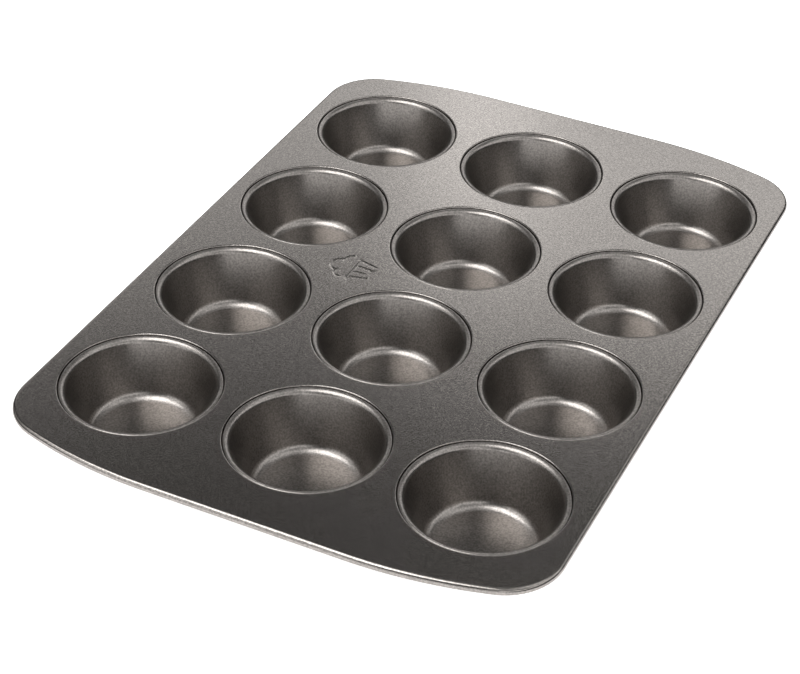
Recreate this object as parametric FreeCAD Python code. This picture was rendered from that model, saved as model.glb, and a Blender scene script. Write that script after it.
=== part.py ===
import FreeCAD, Part
import math
import os

from FreeCAD import Vector

# Muffin tin: a punched steel frame sheet, rolled over a wire at its edge, with drawn cups
# that are lock-seamed into its holes. Millimetres, +Z up. The origin is the centre of the
# footprint on the surface that the cups' undersides rest on. X is the short way, Y the long way.

# Grid of cups
columns = 3
rows = 4
pitch = 83.4

# Outline of the frame sheet, outside of the rolled edge
half_width = 129.5
half_length = 185.4
end_flat = 47.2             # half of the straight stretch in the middle of each bowed end
bow_radius = 213.7
corner_radius = 28.1

# Sheet and wire
sheet = 0.5
wire_radius = 1.25
seam_gap = 0.05             # between two layers of sheet in a seam, and round the wire
roll_turn = 300.0           # degrees that the edge is rolled round the wire
wire_butt = 0.6             # gap where the ends of the wire meet

# Cup, on its inner surface
cup_depth = 27.2            # from the top of the frame sheet to the cup's floor
wall_taper = 19.5           # degrees from upright
floor_fillet = 5.0
lip_radius = 3.0
lip_crown_radius = 36.05    # how far the top of the lip is from the cup's axis
lip_drop = 0.5              # top of the lip below the top of the frame sheet

# Seam between a cup and the frame sheet
tight_bend = 0.35           # middle of the sheet, at each small bend
groove = 0.25               # open groove between the lip and the frame sheet's collar
collar_flange = 1.6         # straight part of the collar's turned-out foot
foot_drop = 2.45            # middle of that foot, below the top of the frame sheet
flange_reach = 0.2          # hem's centre beyond the end of the collar's foot
hem_return = 1.2            # part of the cup's flange that lies back over the foot

# Worked out from the sizes above
half_sheet = sheet / 2
top_z = cup_depth + sheet
roll_inner = wire_radius + seam_gap
roll_outer = roll_inner + sheet
lip_outside = lip_crown_radius + tight_bend + half_sheet
collar_face = lip_outside + groove
collar_start = collar_face + half_sheet + tight_bend
AXIS = Vector(0, 0, 1)
ORIGIN = Vector(0, 0, 0)


def polar(centre, radius, degrees):
    """A point of the XZ plane at a distance and direction from another."""
    turn = math.radians(degrees)
    return centre + Vector(radius * math.cos(turn), 0, radius * math.sin(turn))


def sheet_section(start, heading, moves):
    """The section of a bent sheet in the XZ plane, as a face.

    The middle of the sheet starts at a point and follows moves: ("run", length), or
    ("bend", degrees, radius) with positive degrees to the left.
    """
    left = []
    right = []
    at = start
    for move in moves:
        side = heading + 90
        if move[0] == "run":
            end = polar(at, move[1], heading)
            for edges, offset in ((left, half_sheet), (right, -half_sheet)):
                edges.append(Part.LineSegment(polar(at, offset, side), polar(end, offset, side)))
        else:
            turn, radius = move[1], move[2]
            sign = math.copysign(1, turn)
            centre = polar(at, sign * radius, side)
            first = side + 90 + 90 * sign
            end = polar(centre, radius, first + turn)
            for edges, offset in ((left, half_sheet), (right, -half_sheet)):
                reach = radius - sign * offset
                points = [polar(centre, reach, first + part * turn) for part in (0, 0.5, 1)]
                edges.append(Part.Arc(*points))
            heading += turn
        at = end
    caps = [
        Part.LineSegment(left[-1].EndPoint, right[-1].EndPoint),
        Part.LineSegment(left[0].StartPoint, right[0].StartPoint),
    ]
    edges = [curve.toShape() for curve in left + right + caps]
    return Part.Face(Part.Wire(Part.__sortEdges__(edges)))


def cup_section():
    """Half section of a cup: floor, wall, lip, and the flange that is hemmed over the collar's foot."""
    rise = 90 - wall_taper
    fillet = floor_fillet + half_sheet
    lip = lip_radius - half_sheet
    bends_in = (fillet + lip) * math.sin(math.radians(rise))
    bends_up = (fillet + lip) * (1 - math.cos(math.radians(rise)))
    wall = (cup_depth - lip_drop - bends_up) / math.sin(math.radians(rise))
    floor = lip_crown_radius - bends_in - wall * math.cos(math.radians(rise))
    flange_drop = foot_drop + sheet + seam_gap
    leg = flange_drop - lip_drop - half_sheet - 2 * tight_bend
    foot_end = collar_start + collar_flange
    flange = foot_end + flange_reach - lip_crown_radius - 2 * tight_bend
    return sheet_section(
        Vector(0, 0, half_sheet),
        0,
        [
            ("run", floor),
            ("bend", rise, fillet),
            ("run", wall),
            ("bend", -rise, lip),
            ("bend", -90, tight_bend),
            ("run", leg),
            ("bend", 90, tight_bend),
            ("run", flange),
            ("bend", 180, (sheet + seam_gap + sheet + seam_gap) / 2),
            ("run", hem_return),
        ],
    )


def collar_section():
    """Half section of the edge of a hole: bent down, then turned out into a foot."""
    collar = foot_drop - half_sheet - 2 * tight_bend
    return sheet_section(
        Vector(collar_start, 0, top_z - half_sheet),
        180,
        [
            ("bend", 90, tight_bend),
            ("run", collar),
            ("bend", 90, tight_bend),
            ("run", collar_flange),
        ],
    )


def roll_section():
    """Section of the rolled edge, with X measured outwards from the tin's outline."""
    return sheet_section(
        Vector(-roll_outer, 0, top_z - half_sheet),
        0,
        [("bend", -roll_turn, roll_inner + half_sheet)],
    )


def wire_section():
    """Section of the wire, placed as the rolled edge's is."""
    centre = Vector(-roll_outer, 0, top_z - roll_outer)
    circle = Part.Circle(centre, Vector(0, 1, 0), wire_radius)
    return Part.Face(Part.Wire(circle.toShape()))


def outline_runs():
    """The outline, anticlockwise, as (start, direction outwards in degrees, centre, extent).

    A straight run has no centre, and its extent is a length. An arc's extent is in degrees.
    """
    corner_x = half_width - corner_radius
    bow_y = half_length - bow_radius
    across = corner_x - end_flat
    corner_y = bow_y + math.sqrt((bow_radius - corner_radius) ** 2 - across ** 2)
    bow = math.degrees(math.atan2(across, corner_y - bow_y))
    corner = 90 - bow

    half = [(Vector(half_width, -corner_y, 0), 0, None, 2 * corner_y)]
    for centre, radius, facing, turn in (
        (Vector(corner_x, corner_y, 0), corner_radius, 0, corner),
        (Vector(end_flat, bow_y, 0), bow_radius, corner, bow),
    ):
        half.append((centre + outwards(facing) * radius, facing, centre, turn))
    half.append((Vector(end_flat, half_length, 0), 90, None, 2 * end_flat))
    for centre, radius, facing, turn in (
        (Vector(-end_flat, bow_y, 0), bow_radius, 90, bow),
        (Vector(-corner_x, corner_y, 0), corner_radius, 90 + bow, corner),
    ):
        half.append((centre + outwards(facing) * radius, facing, centre, turn))

    other_half = []
    for start, facing, centre, extent in half:
        other_half.append((-start, facing + 180, -centre if centre else None, extent))
    return half + other_half


def outwards(degrees):
    """The level direction at an angle from +X."""
    turn = math.radians(degrees)
    return Vector(math.cos(turn), math.sin(turn), 0)


def along_outline(section):
    """Solids of a section carried round the whole outline, one for each run."""
    solids = []
    for start, facing, centre, extent in outline_runs():
        face = section.copy()
        face.rotate(ORIGIN, AXIS, facing)
        face.translate(start)
        if centre is None:
            solids.append(face.extrude(outwards(facing + 90) * extent))
        else:
            solids.append(face.revolve(centre, AXIS, extent))
    return solids


def joined(solids):
    """One solid from solids that meet face to face."""
    return solids[0].multiFuse(solids[1:]).removeSplitter()


def flat_plate():
    """The flat of the frame sheet, up to the middle of the rolled edge, before it is punched."""
    edges = []
    for start, facing, centre, extent in outline_runs():
        inset = start - outwards(facing) * roll_outer
        if centre is None:
            end = inset + outwards(facing + 90) * extent
            edges.append(Part.LineSegment(inset, end).toShape())
        else:
            radius = (inset - centre).Length
            points = [centre + outwards(facing + part * extent) * radius for part in (0, 0.5, 1)]
            edges.append(Part.Arc(*points).toShape())
    plate = Part.Face(Part.Wire(edges)).extrude(Vector(0, 0, sheet))
    plate.translate(Vector(0, 0, top_z - sheet))
    return plate


def cup_centres():
    """The axis of each cup, with the cup's column and row, both counted from 1."""
    for column in range(columns):
        for row in range(rows):
            x = (column - (columns - 1) / 2) * pitch
            y = (row - (rows - 1) / 2) * pitch
            yield column + 1, row + 1, Vector(x, y, 0)


def frame_sheet():
    """The frame sheet: plate with a collared hole for each cup, and a rolled edge."""
    plate = flat_plate()
    collar = collar_section().revolve(ORIGIN, AXIS, 360)
    collars = []
    for _, _, centre in cup_centres():
        punch = Part.makeCylinder(collar_start, sheet, centre + Vector(0, 0, top_z - sheet))
        plate = plate.cut(punch)
        collars.append(collar.translated(centre))
    return joined([plate] + collars + along_outline(roll_section()))


def rim_wire():
    """The wire inside the rolled edge, with its butt in the middle of one end."""
    wire = joined(along_outline(wire_section()))
    size = 4 * roll_outer
    corner = Vector(-wire_butt / 2, half_length - size, top_z - size)
    return wire.cut(Part.makeBox(wire_butt, size, size, corner))


def export(shape, node):
    """One closed solid, written as the STEP file of its node."""
    solid = shape.Solids[0]
    assert len(shape.Solids) == 1 and solid.isValid(), node
    solid.exportStep("parts/%s.step" % node)
    print(node, "volume %.0f mm3" % solid.Volume)


os.makedirs("parts", exist_ok=True)
export(frame_sheet(), "frame_sheet")
export(rim_wire(), "rim_wire")
cup = cup_section().revolve(ORIGIN, AXIS, 360)
for column_number, row_number, cup_centre in cup_centres():
    export(cup.translated(cup_centre), "cup_%d_%d" % (column_number, row_number))
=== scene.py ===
"""Muffin tin: a rolled-edge frame sheet with drawn cups seamed into it, in dark metallic coating."""
import math

import bpy
import bmesh
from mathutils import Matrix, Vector


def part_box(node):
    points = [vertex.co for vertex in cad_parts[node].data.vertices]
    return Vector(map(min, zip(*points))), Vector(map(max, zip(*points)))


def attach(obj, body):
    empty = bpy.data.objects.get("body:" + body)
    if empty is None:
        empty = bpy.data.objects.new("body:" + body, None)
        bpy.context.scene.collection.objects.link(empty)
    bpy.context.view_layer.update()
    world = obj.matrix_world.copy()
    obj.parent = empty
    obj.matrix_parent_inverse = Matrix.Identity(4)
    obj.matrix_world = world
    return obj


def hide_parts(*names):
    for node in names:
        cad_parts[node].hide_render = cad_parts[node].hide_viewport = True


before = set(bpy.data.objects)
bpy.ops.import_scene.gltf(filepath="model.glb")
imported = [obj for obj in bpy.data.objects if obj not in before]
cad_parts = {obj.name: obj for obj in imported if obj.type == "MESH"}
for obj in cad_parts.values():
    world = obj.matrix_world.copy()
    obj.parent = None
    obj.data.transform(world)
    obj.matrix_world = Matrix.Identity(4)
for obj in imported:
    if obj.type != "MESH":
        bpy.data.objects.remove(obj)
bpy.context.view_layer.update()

MM = 0.001

# ---------------------------------------------------------------- sizes

SHEET = 0.5 * MM
WIRE_RADIUS = 1.25 * MM
SEAM_GAP = 0.05 * MM
ROLL_TURN = 300.0

WALL_TAPER = 19.5
FLOOR_FILLET = 5.0 * MM
LIP_RADIUS = 3.0 * MM
LIP_CROWN = 36.05 * MM
LIP_DROP = 0.5 * MM

TIGHT_BEND = 0.35 * MM
GROOVE = 0.25 * MM
COLLAR_FLANGE = 1.6 * MM
FOOT_DROP = 2.45 * MM
FLANGE_REACH = 0.2 * MM
HEM_RETURN = 1.2 * MM

END_FLAT = 47.2 * MM
BOW_RADIUS = 213.7 * MM
CORNER_RADIUS = 28.1 * MM

AROUND = 128                 # points round each cup and hole, a multiple of 8
LIP_STEP = 7.5               # degrees between points of a broad bend of the sheet
ROLL_STEP = 10.0             # of the rolled edge
TIGHT_STEP = 18.0            # and of a tight bend
BROAD_BEND = 1.0 * MM        # bends of at least this radius are broad
AROUND_WIRE = 24             # points round the wire
SUPPORT = 0.3 * MM           # distance of the extra row that keeps a flat stretch flat
SHORT_RUN = 2.0 * MM         # a flat stretch shorter than this needs no extra row
RUN_CELL = 8.0 * MM          # about how far apart the other rows of a flat stretch are
BORDER_SHARES = (0.0, 0.35, 0.7)     # rows of the plate's border, from the cells' edge outwards
SAME_PLACE = 0.005 * MM      # corners closer than this are one
FLAT_FACE = 0.99             # the normal of a flat face is at least this far up or down, out of 1
SHARP = 50.0                 # degrees between faces that make an edge sharp
HALVINGS = 48                # enough to find a point of the outline to its last digit

# Mark pressed into the plate between four cups
MARK_LINE = 0.65 * MM        # half the width of a pressed line
MARK_SLOPE = 1.5 * MARK_LINE         # where the plate is level again, beside a line
MARK_DEPTH = 0.15 * MM
MARK_REACH = 12.0 * MM       # half the square of plate that is given a finer mesh
MARK_CELL = 1.3 * MM         # longest edge of that mesh, before the lines' own finer one
MARK_ARC_STEPS = 8

# Its lines, in millimetres and degrees from its middle: a muffin in a paper case, from the side
CASE_RIM = 7.4               # half the width of the case at its rim
CASE_FOOT = 5.2              # and at its foot
RIM_LEVEL = -1.6
FOOT_LEVEL = -11.0
PLEAT_RIM = 2.6              # how far a pleat is from the middle, at the rim
PLEAT_FOOT = 1.9             # and at the foot
BULGE_ACROSS = 5.6           # centre of the round of each side of the muffin's top
BULGE_UP = 2.0
BULGE_RADIUS = 4.0
BULGE_START = 62             # where the left one leaves the crown
BULGE_END = 243              # and where it comes down to the case
CROWN_UP = 5.2
CROWN_RADIUS = 5.2
CROWN_END = 22               # where the crown comes down to the right bulge

# From the frame: the tin's outline and where each cup stands
_, FRAME_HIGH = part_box("frame_sheet")
HALF_WIDTH = FRAME_HIGH.x
HALF_LENGTH = FRAME_HIGH.y
TOP = FRAME_HIGH.z
CUP_DEPTH = TOP - SHEET
CUPS = sorted(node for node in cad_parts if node.startswith("cup_"))


def cup_centre(node):
    """The middle of a cup's box, which is within 0.01 mm of its axis."""
    low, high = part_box(node)
    return (low + high) / 2


PITCH = abs(cup_centre("cup_1_2").y - cup_centre("cup_1_1").y)
HALF_SHEET = SHEET / 2
ROLL_INNER = WIRE_RADIUS + SEAM_GAP
ROLL_OUTER = ROLL_INNER + SHEET
LIP_OUTSIDE = LIP_CROWN + TIGHT_BEND + HALF_SHEET
COLLAR_START = LIP_OUTSIDE + GROOVE + HALF_SHEET + TIGHT_BEND


# ---------------------------------------------------------------- bent sheet sections

def polar(at, radius, degrees):
    """A point (across, up) at a distance and direction from another."""
    turn = math.radians(degrees)
    return (at[0] + radius * math.cos(turn), at[1] + radius * math.sin(turn))


def run_stops(length):
    """Shares of a straight stretch where it gets a point: close to each end, and in between."""
    if length < SHORT_RUN:
        return [1.0]
    near = SUPPORT / length
    between = max(1, round(length / RUN_CELL))
    stops = [near + (1 - 2 * near) * i / between for i in range(between + 1)]
    return stops + [1.0]


def sheet_section(start, heading, moves, broad_step=LIP_STEP):
    """Both faces of a bent sheet, as two lists of points from its start to its end.

    The middle of the sheet follows moves: ("run", length), or ("bend", degrees, radius) with
    positive degrees to the left.
    """
    at = start
    left = [polar(at, HALF_SHEET, heading + 90)]
    right = [polar(at, -HALF_SHEET, heading + 90)]
    for move in moves:
        side = heading + 90
        if move[0] == "run":
            for share in run_stops(move[1]):
                point = polar(at, share * move[1], heading)
                left.append(polar(point, HALF_SHEET, side))
                right.append(polar(point, -HALF_SHEET, side))
            at = polar(at, move[1], heading)
            continue
        turn, radius = move[1], move[2]
        sign = math.copysign(1, turn)
        centre = polar(at, sign * radius, side)
        first = side + 90 + 90 * sign
        step = broad_step if radius >= BROAD_BEND else TIGHT_STEP
        count = math.ceil(abs(turn) / step)
        for i in range(1, count + 1):
            angle = first + turn * i / count
            left.append(polar(centre, radius - sign * HALF_SHEET, angle))
            right.append(polar(centre, radius + sign * HALF_SHEET, angle))
        at = polar(centre, radius, first + turn)
        heading += turn
    return left, right


def closed(sides):
    """One closed loop of points from the two faces of a section."""
    left, right = sides
    return left + right[::-1]


def cup_section():
    """Floor, wall, lip, and the flange that is hemmed over the foot of the hole's collar."""
    rise = 90 - WALL_TAPER
    up, along = math.sin(math.radians(rise)), math.cos(math.radians(rise))
    fillet = FLOOR_FILLET + HALF_SHEET
    lip = LIP_RADIUS - HALF_SHEET
    wall = (CUP_DEPTH - LIP_DROP - (fillet + lip) * (1 - along)) / up
    floor = LIP_CROWN - (fillet + lip) * up - wall * along
    leg = FOOT_DROP + SHEET + SEAM_GAP - LIP_DROP - HALF_SHEET - 2 * TIGHT_BEND
    foot_end = COLLAR_START + COLLAR_FLANGE
    flange = foot_end + FLANGE_REACH - LIP_CROWN - 2 * TIGHT_BEND
    return sheet_section((0.0, HALF_SHEET), 0.0, [
        ("run", floor),
        ("bend", rise, fillet),
        ("run", wall),
        ("bend", -rise, lip),
        ("bend", -90, TIGHT_BEND),
        ("run", leg),
        ("bend", 90, TIGHT_BEND),
        ("run", flange),
        ("bend", 180, SHEET + SEAM_GAP),
        ("run", HEM_RETURN),
    ])


def collar_section():
    """The edge of a hole: bent down, then turned out into a foot."""
    return sheet_section((COLLAR_START, TOP - HALF_SHEET), 180.0, [
        ("bend", 90, TIGHT_BEND),
        ("run", FOOT_DROP - HALF_SHEET - 2 * TIGHT_BEND),
        ("bend", 90, TIGHT_BEND),
        ("run", COLLAR_FLANGE),
    ])


def roll_section():
    """The rolled edge, with the first number measured outwards from the middle of the roll."""
    bend = ("bend", -ROLL_TURN, ROLL_INNER + HALF_SHEET)
    return sheet_section((0.0, TOP - HALF_SHEET), 0.0, [bend], ROLL_STEP)


def wire_section():
    """The round wire, placed as the roll's section is."""
    centre = (0.0, TOP - ROLL_OUTER)
    return [polar(centre, WIRE_RADIUS, 360.0 * i / AROUND_WIRE) for i in range(AROUND_WIRE)]


# ---------------------------------------------------------------- meshes

class Shell:
    """Gathers the rows of a mesh. Corners in one place become one corner."""

    def __init__(self):
        self.places = []
        self.faces = []

    def bands(self, rows, loop=False):
        """Faces between each row of places and the next. Every row closes on itself."""
        count = len(rows[0])
        first = len(self.places)
        for row in rows:
            self.places.extend(row)
        for one in range(len(rows) if loop else len(rows) - 1):
            other = (one + 1) % len(rows)
            for i in range(count):
                j = (i + 1) % count
                corners = (one * count + i, one * count + j, other * count + j, other * count + i)
                self.faces.append([first + corner for corner in corners])

    def piece(self, name, change=None):
        """The finished object, with its faces turned outwards and shaded smooth."""
        mesh = bpy.data.meshes.new(name)
        mesh.from_pydata(self.places, [], self.faces)
        edit = bmesh.new()
        edit.from_mesh(mesh)
        bmesh.ops.remove_doubles(edit, verts=edit.verts, dist=SAME_PLACE)
        bmesh.ops.recalc_face_normals(edit, faces=edit.faces)
        if change:
            change(edit)
        edit.to_mesh(mesh)
        edit.free()
        mesh.shade_smooth()
        mesh.set_sharp_from_angle(angle=math.radians(SHARP))
        thing = bpy.data.objects.new(name, mesh)
        bpy.context.scene.collection.objects.link(thing)
        return thing


def angle_of(index):
    """The direction of a point round a cup or hole, in radians."""
    return 2 * math.pi * index / AROUND


def ring(centre, radius, height):
    """Points round a circle."""
    return [
        (centre.x + radius * math.cos(angle_of(i)), centre.y + radius * math.sin(angle_of(i)), height)
        for i in range(AROUND)
    ]


def lathe(shell, section, centre):
    """A section turned round an upright axis."""
    shell.bands([ring(centre, across, up) for across, up in section])


# ---------------------------------------------------------------- outline

INNER_X = HALF_WIDTH - ROLL_OUTER
INNER_Y = HALF_LENGTH - ROLL_OUTER
CORNER_X = HALF_WIDTH - CORNER_RADIUS
BOW_Y = HALF_LENGTH - BOW_RADIUS
CORNER_Y = BOW_Y + math.sqrt((BOW_RADIUS - CORNER_RADIUS) ** 2 - (CORNER_X - END_FLAT) ** 2)
BOW_TURN = math.atan2(CORNER_X - END_FLAT, CORNER_Y - BOW_Y)
CORNER_TURN = math.pi / 2 - BOW_TURN


def outline_point(share):
    """A point of the roll's middle line in the first quarter, and its direction outwards.

    The share goes from 0, halfway along the long side, to 1, halfway along the end.
    """
    corner = CORNER_RADIUS - ROLL_OUTER
    bow = BOW_RADIUS - ROLL_OUTER
    lengths = [CORNER_Y, corner * CORNER_TURN, bow * BOW_TURN, END_FLAT]
    left = share * sum(lengths)
    if left <= lengths[0]:
        return Vector((INNER_X, left)), Vector((1, 0))
    left -= lengths[0]
    if left <= lengths[1]:
        facing = left / corner
        out = Vector((math.cos(facing), math.sin(facing)))
        return Vector((CORNER_X, CORNER_Y)) + out * corner, out
    left -= lengths[1]
    if left <= lengths[2]:
        facing = CORNER_TURN + left / bow
        out = Vector((math.cos(facing), math.sin(facing)))
        return Vector((END_FLAT, BOW_Y)) + out * bow, out
    left -= lengths[2]
    return Vector((END_FLAT - left, INNER_Y)), Vector((0, 1))


def outline_beyond(origin, direction):
    """Where a line from inside the first quarter meets the roll's middle line."""
    low, high = 0.0, 1.0
    for _ in range(HALVINGS):
        middle = (low + high) / 2
        point, _ = outline_point(middle)
        reach = point - origin
        if direction.x * reach.y - direction.y * reach.x < 0:
            low = middle
        else:
            high = middle
    return outline_point((low + high) / 2)


LAST_CUP = Vector((PITCH, 1.5 * PITCH))      # axis of the cup nearest the first quarter's corner


def cell_edge(centre):
    """The edge of the flat cell round a hole: square, but round where it faces the tin's corner."""
    corner_cell = abs(centre.x) > PITCH / 2 and abs(centre.y) > PITCH
    points = []
    for i in range(AROUND):
        across, along = math.cos(angle_of(i)), math.sin(angle_of(i))
        faces_corner = corner_cell and across * centre.x > 0 and along * centre.y > 0
        reach = PITCH / 2 / (1 if faces_corner else max(abs(across), abs(along)))
        points.append(Vector((centre.x + reach * across, centre.y + reach * along)))
    return points


def outline_from_cell(place):
    """The outline point that a point of the cells' outer edge leads to, and its direction outwards."""
    inside = Vector((abs(place.x), abs(place.y)))
    if inside.y <= LAST_CUP.y:
        point, out = outline_beyond(Vector((0, inside.y)), Vector((1, 0)))
    elif inside.x <= LAST_CUP.x:
        point, out = outline_beyond(Vector((inside.x, 0)), Vector((0, 1)))
    else:
        point, out = outline_beyond(LAST_CUP, inside - LAST_CUP)
    flip = Vector((math.copysign(1, place.x), math.copysign(1, place.y)))
    return point * flip, out * flip


def outer_edge():
    """Half of the outer edge of all the cells, anticlockwise from the right column's first cup."""
    eighth = AROUND // 8
    points = []
    for column, row, first, last in (
        (1, -1.5, 0, eighth),
        (1, -0.5, -eighth, eighth),
        (1, 0.5, -eighth, eighth),
        (1, 1.5, -eighth, 3 * eighth),
        (0, 1.5, eighth, 3 * eighth),
        (-1, 1.5, eighth, 4 * eighth),
    ):
        edge = cell_edge(Vector((column * PITCH, row * PITCH)))
        points += [edge[i % AROUND] for i in range(first, last)]
    return points


def whole_edge():
    """Each point of the cells' outer edge, the outline point beyond it, and the direction outwards."""
    half = outer_edge()
    turned = [-place for place in half]
    return [(place, *outline_from_cell(place)) for place in half + turned]


EDGE = whole_edge()


# ---------------------------------------------------------------- pressed mark

def arc(centre, radius, first, last):
    """Points along an arc, from one direction in degrees to another."""
    turns = [first + (last - first) * i / MARK_ARC_STEPS for i in range(MARK_ARC_STEPS + 1)]
    return [polar(centre, radius, turn) for turn in turns]


def mark_lines():
    """The mark's lines, each a list of points (across, up) from the mark's middle, in metres."""
    case = [
        (-CASE_RIM, RIM_LEVEL),
        (-CASE_FOOT, FOOT_LEVEL),
        (CASE_FOOT, FOOT_LEVEL),
        (CASE_RIM, RIM_LEVEL),
        (-CASE_RIM, RIM_LEVEL),
    ]
    pleats = [[(side * PLEAT_RIM, RIM_LEVEL), (side * PLEAT_FOOT, FOOT_LEVEL)] for side in (-1, 1)]
    left_bulge = arc((-BULGE_ACROSS, BULGE_UP), BULGE_RADIUS, BULGE_END, BULGE_START)
    crown = arc((0.0, CROWN_UP), CROWN_RADIUS, 180 - CROWN_END, CROWN_END)
    right_bulge = arc((BULGE_ACROSS, BULGE_UP), BULGE_RADIUS, 180 - BULGE_START, 180 - BULGE_END)
    lines = [case, *pleats, left_bulge, crown, right_bulge]
    return [[(across * MM, up * MM) for across, up in line] for line in lines]


def mark_steps():
    """Each straight step of the mark's lines on the plate, as its two ends. Up is towards -X."""
    steps = []
    for line in mark_lines():
        places = [Vector((-PITCH / 2 - up, across)) for across, up in line]
        steps += zip(places, places[1:])
    return steps


def distance_to(place, steps):
    """How far a place on the plate is from the nearest step."""
    nearest = MARK_REACH
    for start, end in steps:
        along = end - start
        share = (place - start).dot(along) / along.length_squared
        foot = start + along * min(1.0, max(0.0, share))
        nearest = min(nearest, (place - foot).length)
    return nearest


def from_mark(place):
    """How far a place is from the mark's middle, along X or Y, whichever is more."""
    return max(abs(place.x + PITCH / 2), abs(place.y))


def on_mark(face):
    """Whether a face is a flat one of the plate, above or below, where the mark is."""
    middle = face.calc_center_median()
    off_plate = min(abs(middle.z - height) for height in (TOP, TOP - SHEET))
    return off_plate < SAME_PLACE and abs(face.normal.z) > FLAT_FACE and from_mark(middle) < MARK_REACH


def split(edit, faces, longest):
    """Halves each edge of the faces that is longer than a length."""
    edges = dict.fromkeys(edge for face in faces for edge in face.edges if edge.calc_length() > longest)
    bmesh.ops.subdivide_edges(edit, edges=list(edges), cuts=1, use_grid_fill=True)


def press_mark(edit):
    """Gives the plate a finer mesh where the mark is, and presses its lines into both faces."""
    steps = mark_steps()
    for longest in (4 * MARK_CELL, 2 * MARK_CELL, MARK_CELL):
        split(edit, [face for face in edit.faces if on_mark(face)], longest)
    for reach, longest in ((3 * MARK_LINE, MARK_CELL / 2), (2 * MARK_LINE, MARK_CELL / 4)):
        on_lines = []
        for face in edit.faces:
            if on_mark(face) and distance_to(face.calc_center_median().xy, steps) < reach:
                on_lines.append(face)
        split(edit, on_lines, longest)
    for vert in edit.verts:
        if from_mark(vert.co) < MARK_REACH and vert.co.z > TOP - 2 * SHEET:
            share = distance_to(vert.co.xy, steps) / MARK_SLOPE
            if share < 1:
                vert.co.z -= MARK_DEPTH * (1 + math.cos(math.pi * share)) / 2


# ---------------------------------------------------------------- pieces

def frame_sheet():
    """The frame sheet: plate with collared holes, and its edge rolled over."""
    shell = Shell()
    centres = [cup_centre(node) for node in CUPS]
    for height in (TOP, TOP - SHEET):
        for centre in centres:
            plate_cell(shell, centre, height)
        plate_border(shell, height)
    for centre in centres:
        lathe(shell, closed(collar_section()), centre)
    roll(shell, closed(roll_section()))
    return shell.piece("frame_sheet_skin", press_mark)


def plate_cell(shell, centre, height):
    """The flat between one hole and the square cell round it."""
    rows = [ring(centre, COLLAR_START, height), ring(centre, COLLAR_START + SUPPORT, height)]
    edge = [(*place, height) for place in cell_edge(centre)]
    for share in (1 / 3, 2 / 3):
        rows.append([Vector(a).lerp(Vector(b), share) for a, b in zip(rows[1], edge)])
    rows.append(edge)
    shell.bands(rows)


def plate_border(shell, height):
    """The flat between the cells and the roll, with an extra row close to the roll."""
    rows = [[] for _ in range(len(BORDER_SHARES) + 2)]
    for start, end, _ in EDGE:
        near_roll = 1 - SUPPORT / (end - start).length
        for row, share in zip(rows, (*BORDER_SHARES, near_roll, 1.0)):
            row.append((*start.lerp(end, share), height))
    shell.bands(rows)


def roll(shell, section, loop=False):
    """A section carried round the whole outline."""
    rows = []
    for across, up in section:
        rows.append([(*(point + out * across), up) for _, point, out in EDGE])
    shell.bands(rows, loop)


def rim_wire():
    """The wire inside the roll."""
    shell = Shell()
    roll(shell, wire_section(), loop=True)
    return shell.piece("rim_wire_drawn")


def cup(node):
    """One drawn cup."""
    shell = Shell()
    lathe(shell, closed(cup_section()), cup_centre(node))
    return shell.piece(node + "_drawn")


# ---------------------------------------------------------------- materials

# The coating is a little rougher where the steel is drawn into cups than on the flat
FLAT_ROUGHNESS = 0.23
CUP_ROUGHNESS = 0.31

# Its grain is about half a millimetre apart, and its paler and darker flecks a little more
GRAIN_SCALE = 1900
GRAIN_DETAIL = 2
GRAIN_STRENGTH = 0.18
GRAIN_HEIGHT = 0.1 * MM
FLECK_SCALE = 1200
FLECK_DETAIL = 1
DARK_FLECK = (0.30, (0.187, 0.174, 0.164))
PALE_FLECK = (0.70, (0.311, 0.29, 0.272))

WIRE_ROUGHNESS = 0.3
STREAK_SCALE = 900
STREAK_DETAIL = 2
DARK_STREAK = (0.0, (0.4, 0.4, 0.4))
PALE_STREAK = (1.0, (0.6, 0.6, 0.6))


def new_material(name):
    """An empty node material, its nodes, and a function that links two sockets."""
    material = bpy.data.materials.new(name)
    material.use_nodes = True
    tree = material.node_tree
    tree.nodes.clear()
    return material, tree.nodes, tree.links.new


def noise(nodes, link, scale, detail):
    """A noise pattern in the piece's own coordinates."""
    place = nodes.new("ShaderNodeTexCoord")
    texture = nodes.new("ShaderNodeTexNoise")
    texture.inputs["Scale"].default_value = scale
    texture.inputs["Detail"].default_value = detail
    link(place.outputs["Object"], texture.inputs["Vector"])
    return texture.outputs["Fac"]


def two_tones(nodes, link, pattern, dark, pale):
    """A colour that follows a pattern between two stops, each a position and a colour."""
    ramp = nodes.new("ShaderNodeValToRGB")
    for stop, (position, colour) in zip(ramp.color_ramp.elements, (dark, pale)):
        stop.position = position
        stop.color = (*colour, 1)
    link(pattern, ramp.inputs["Fac"])
    return ramp.outputs["Color"]


def metal(nodes, link, colour, roughness):
    """A metal shader, linked to the surface."""
    shader = nodes.new("ShaderNodeBsdfPrincipled")
    shader.inputs["Metallic"].default_value = 1.0
    shader.inputs["Roughness"].default_value = roughness
    out = nodes.new("ShaderNodeOutputMaterial")
    link(colour, shader.inputs["Base Color"])
    link(shader.outputs["BSDF"], out.inputs["Surface"])
    return shader


def coating(name, roughness):
    """Dark metallic non-stick coating, satin, with a fine grain."""
    material, nodes, link = new_material(name)
    flecks = noise(nodes, link, FLECK_SCALE, FLECK_DETAIL)
    shader = metal(nodes, link, two_tones(nodes, link, flecks, DARK_FLECK, PALE_FLECK), roughness)
    bump = nodes.new("ShaderNodeBump")
    bump.inputs["Strength"].default_value = GRAIN_STRENGTH
    bump.inputs["Distance"].default_value = GRAIN_HEIGHT
    link(noise(nodes, link, GRAIN_SCALE, GRAIN_DETAIL), bump.inputs["Height"])
    link(bump.outputs["Normal"], shader.inputs["Normal"])
    return material


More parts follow.
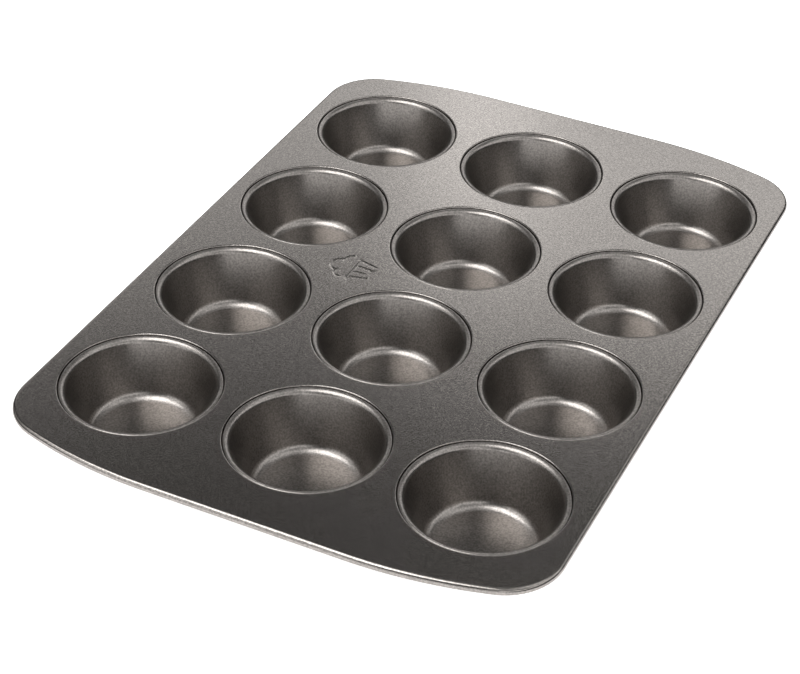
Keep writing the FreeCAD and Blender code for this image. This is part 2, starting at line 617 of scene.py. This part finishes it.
def drawn_wire():
    """Plain drawn steel wire."""
    material, nodes, link = new_material("wire_steel")
    streaks = noise(nodes, link, STREAK_SCALE, STREAK_DETAIL)
    metal(nodes, link, two_tones(nodes, link, streaks, DARK_STREAK, PALE_STREAK), WIRE_ROUGHNESS)
    return material


def put(piece, node, material):
    """A finished piece in the place of its CAD node."""
    piece.data.materials.append(material)
    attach(piece, "root")
    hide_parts(node)


put(frame_sheet(), "frame_sheet", coating("coating_on_flat", FLAT_ROUGHNESS))
put(rim_wire(), "rim_wire", drawn_wire())
CUP_COATING = coating("coating_on_cups", CUP_ROUGHNESS)
for cup_node in CUPS:
    put(cup(cup_node), cup_node, CUP_COATING)


# ---------------------------------------------------------------- floor, light, camera

FLOOR_REACH = 3.0
FLOOR_LEVEL = -0.2 * MM      # just under the cups
FLOOR_WHITE = 0.9
FLOOR_ROUGHNESS = 0.9
FLOOR_SPECULAR = 0.1
FLOOR_GLOW = 0.85

# The camera, in millimetres from the middle of the plate's top
CAMERA_X = 322.1
CAMERA_Y = -739.7
CAMERA_UP = 559.5
AIM_X = 3.6
AIM_Y = -40.3
CAMERA_ROLL = 1.903          # degrees
SENSOR_WIDTH = 36
LENS = 92.98

# Softboxes: azimuth, elevation, distance, width and height in metres, watts. Azimuth 0 is
# beyond the tin, along +Y, and 90 is to the left. The camera is at an azimuth of about 204.
SOFTBOXES = {
    "top": (132, 68, 1.6, 1.2, 0.9, 20.0),
    "top_far": (30, 66, 1.7, 1.4, 0.7, 1.5),
    "top_left": (115, 50, 1.8, 1.4, 0.7, 3.0),
    "top_near": (195, 58, 1.8, 1.6, 0.8, 2.5),
    "top_right": (290, 66, 1.7, 1.2, 0.8, 4.5),
    "right": (280, 38, 1.9, 1.6, 0.7, 6.0),
    "right_far": (322, 36, 2.0, 1.1, 0.5, 3.0),
    "left": (95, 28, 2.0, 1.4, 0.6, 1.5),
    "left_near": (140, 32, 2.0, 1.4, 0.6, 5.5),
    "near": (225, 32, 2.0, 1.6, 0.6, 6.0),
    "near_low": (180, 12, 2.0, 3.6, 0.6, 12.0),
    "back_right": (5, 26, 2.0, 1.2, 0.4, 2.2),
    "back_left": (38, 26, 2.0, 1.2, 0.4, 2.2),
    "back_high": (5, 34, 2.0, 1.2, 0.25, 1.6),
    "back_high_left": (38, 34, 2.0, 1.2, 0.25, 0.5),
}


def floor():
    """A plain pale floor, which glows so that the tin's shadow on it is faint."""
    mesh = bpy.data.meshes.new("floor")
    sides = ((-1, -1), (1, -1), (1, 1), (-1, 1))
    corners = [(x * FLOOR_REACH, y * FLOOR_REACH, FLOOR_LEVEL) for x, y in sides]
    mesh.from_pydata(corners, [], [(0, 1, 2, 3)])
    ground = bpy.data.objects.new("floor", mesh)
    bpy.context.scene.collection.objects.link(ground)
    material, nodes, link = new_material("floor")
    shader = nodes.new("ShaderNodeBsdfPrincipled")
    shader.inputs["Base Color"].default_value = (FLOOR_WHITE, FLOOR_WHITE, FLOOR_WHITE, 1)
    shader.inputs["Roughness"].default_value = FLOOR_ROUGHNESS
    shader.inputs["Specular IOR Level"].default_value = FLOOR_SPECULAR
    shader.inputs["Emission Color"].default_value = (1, 1, 1, 1)
    shader.inputs["Emission Strength"].default_value = FLOOR_GLOW
    out = nodes.new("ShaderNodeOutputMaterial")
    link(shader.outputs["BSDF"], out.inputs["Surface"])
    mesh.materials.append(material)


def softbox(name, azimuth, elevation, distance, width, height, power):
    """An area light that faces the tin."""
    turn, lift = math.radians(azimuth), math.radians(elevation)
    away = Vector((-math.sin(turn) * math.cos(lift), math.cos(turn) * math.cos(lift), math.sin(lift)))
    lamp = bpy.data.lights.new(name, "AREA")
    lamp.shape = "RECTANGLE"
    lamp.size = width
    lamp.size_y = height
    lamp.energy = power
    thing = bpy.data.objects.new(name, lamp)
    thing.location = away * distance
    thing.rotation_euler = (-away).to_track_quat("-Z", "Y").to_euler()
    thing.visible_camera = False
    bpy.context.scene.collection.objects.link(thing)


def camera():
    """The camera, aimed at a point level with the top of the plate."""
    data = bpy.data.cameras.new("camera")
    data.sensor_width = SENSOR_WIDTH
    data.lens = LENS
    thing = bpy.data.objects.new("camera", data)
    place = Vector((CAMERA_X, CAMERA_Y, CAMERA_UP + TOP / MM)) * MM
    aim = Vector((AIM_X, AIM_Y, TOP / MM)) * MM
    thing.location = place
    thing.rotation_euler = (aim - place).to_track_quat("-Z", "Y").to_euler()
    thing.rotation_euler.rotate_axis("Z", math.radians(CAMERA_ROLL))
    bpy.context.scene.collection.objects.link(thing)
    bpy.context.scene.camera = thing


floor()
for softbox_name, settings in SOFTBOXES.items():
    softbox(softbox_name, *settings)
camera()
bpy.context.scene.view_settings.view_transform = "Standard"
